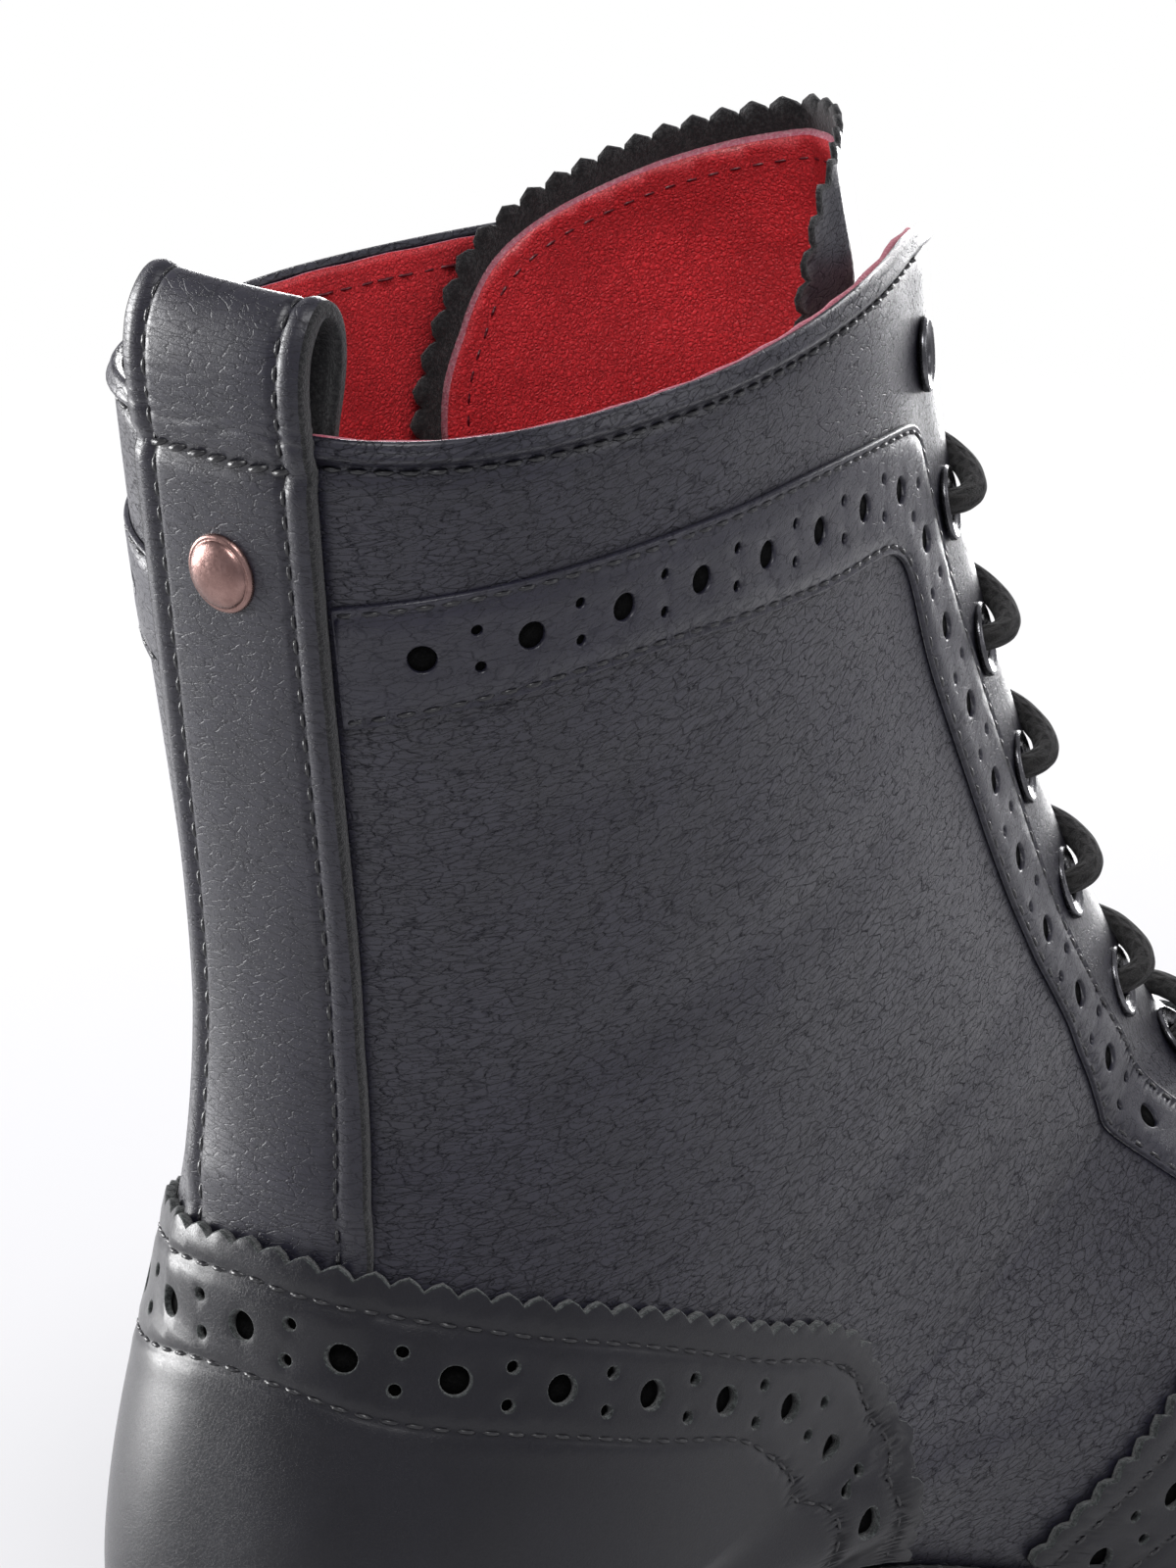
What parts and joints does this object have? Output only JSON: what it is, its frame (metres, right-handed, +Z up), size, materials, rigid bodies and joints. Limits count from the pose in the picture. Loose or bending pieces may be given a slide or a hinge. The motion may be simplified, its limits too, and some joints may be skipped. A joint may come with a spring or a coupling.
{
  "type": "brogue boot",
  "caption": "Right lace-up brogue ankle boot with a low stacked heel, punched bands, heel counter, domed back stud and pull loop, standing empty on its sole.",
  "frame": {"origin": "middle of the heel's bottom face, on the floor", "axes": "+X from the heel to the toe, +Z up, -Y the outer side of this right shoe"},
  "size_m": [0.2712, 0.0969, 0.2042],
  "materials": {
    "black_leather": "black fine grained leather, soft gloss",
    "overlay_leather": "black smooth leather, brushed gloss",
    "lining_leather": "deep red pebbled lining leather",
    "sole": "matte black sole",
    "welt": "black welt with a satin edge",
    "stacked_heel": "black stained layered heel, satin",
    "top_lift_rubber": "matte black rubber",
    "dark_metal": "dark plated metal, polished rim",
    "copper": "dark rose copper, polished",
    "lace_cord": "black round woven cord"
  },
  "bodies": {
    "root": {"upper": "black_leather", "counter": "overlay_leather", "band_outer": "overlay_leather", "band_inner": "overlay_leather", "vamp": "overlay_leather", "wing_cap": "overlay_leather", "back_strap": "black_leather", "stud": "copper", "tongue": "lining_leather", "insole": "lining_leather", "outsole": "sole", "welt": "welt", "top_lift": "top_lift_rubber", "heel_stack": "stacked_heel", "lace": "lace_cord", "eyelet_outer_1": "dark_metal", "eyelet_outer_2": "dark_metal", "eyelet_outer_3": "dark_metal", "eyelet_outer_4": "dark_metal", "eyelet_outer_5": "dark_metal", "eyelet_outer_6": "dark_metal", "eyelet_outer_7": "dark_metal", "eyelet_inner_1": "dark_metal", "eyelet_inner_2": "dark_metal", "eyelet_inner_3": "dark_metal", "eyelet_inner_4": "dark_metal", "eyelet_inner_5": "dark_metal", "eyelet_inner_6": "dark_metal", "eyelet_inner_7": "dark_metal"}
  },
  "joints": []
}
